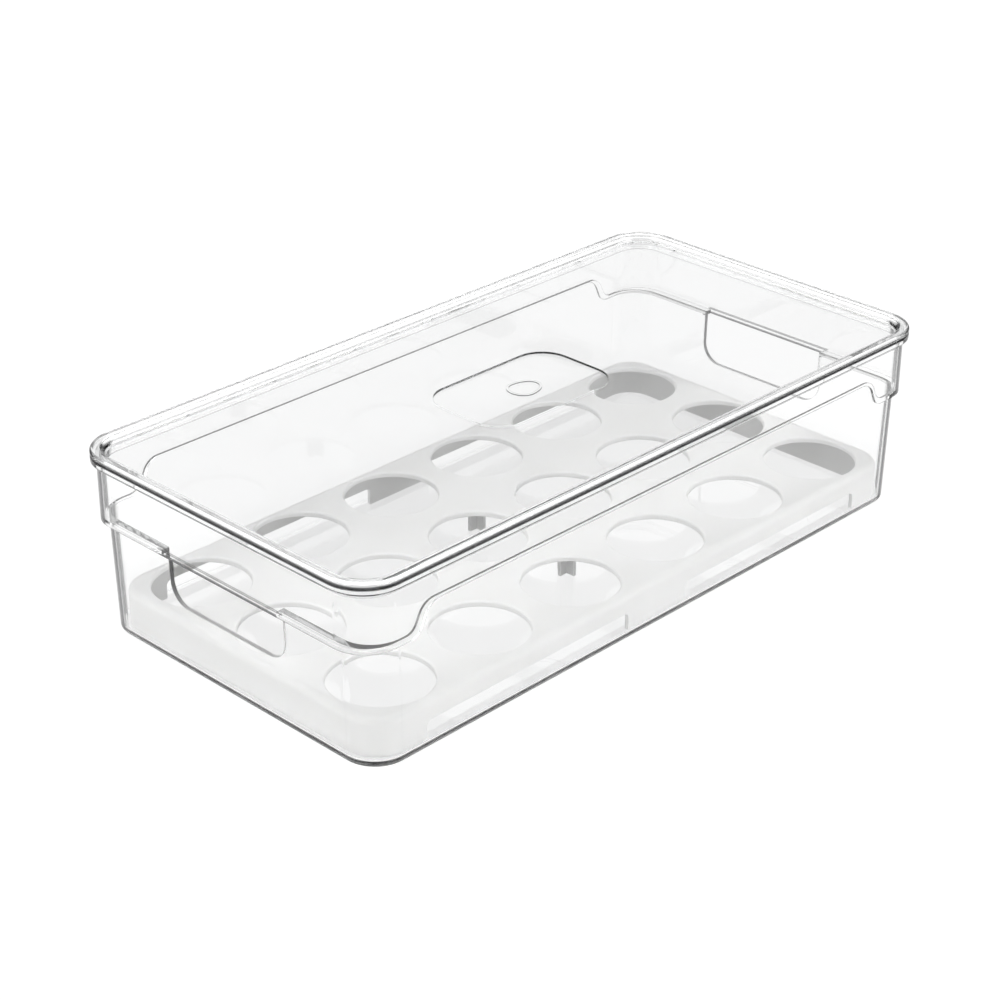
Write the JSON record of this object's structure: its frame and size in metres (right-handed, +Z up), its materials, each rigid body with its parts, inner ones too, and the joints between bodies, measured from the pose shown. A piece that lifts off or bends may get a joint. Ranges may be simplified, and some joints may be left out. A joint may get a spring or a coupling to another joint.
{
  "type": "egg storage bin with lid and tray",
  "caption": "Clear lidded refrigerator bin with hand openings and a lift-out white tray of round egg seats.",
  "frame": {"origin": "centre of the bin's underside", "axes": "X along the bin's length through both hand openings, Y across it, Z up"},
  "size_m": [0.321, 0.1606, 0.0785],
  "materials": {
    "clear_plastic": "clear, polished, faint moulding marks",
    "white_plastic": "white, fine satin texture"
  },
  "bodies": {
    "bin": {"bin": "clear_plastic"},
    "lid": {"lid": "clear_plastic"},
    "egg_tray": {"egg_tray": "white_plastic"}
  },
  "joints": [
    {"name": "lid_lift", "type": "slide", "parent": "bin", "child": "lid", "axis": [0, 0, 1], "range_m": [0, 0.2]},
    {"name": "tray_lift", "type": "slide", "parent": "bin", "child": "egg_tray", "axis": [0, 0, 1], "range_m": [0, 0.1]}
  ],
  "couplings": [
    {"joint": "tray_lift", "follows": "lid_lift", "ratio": 0.5}
  ]
}
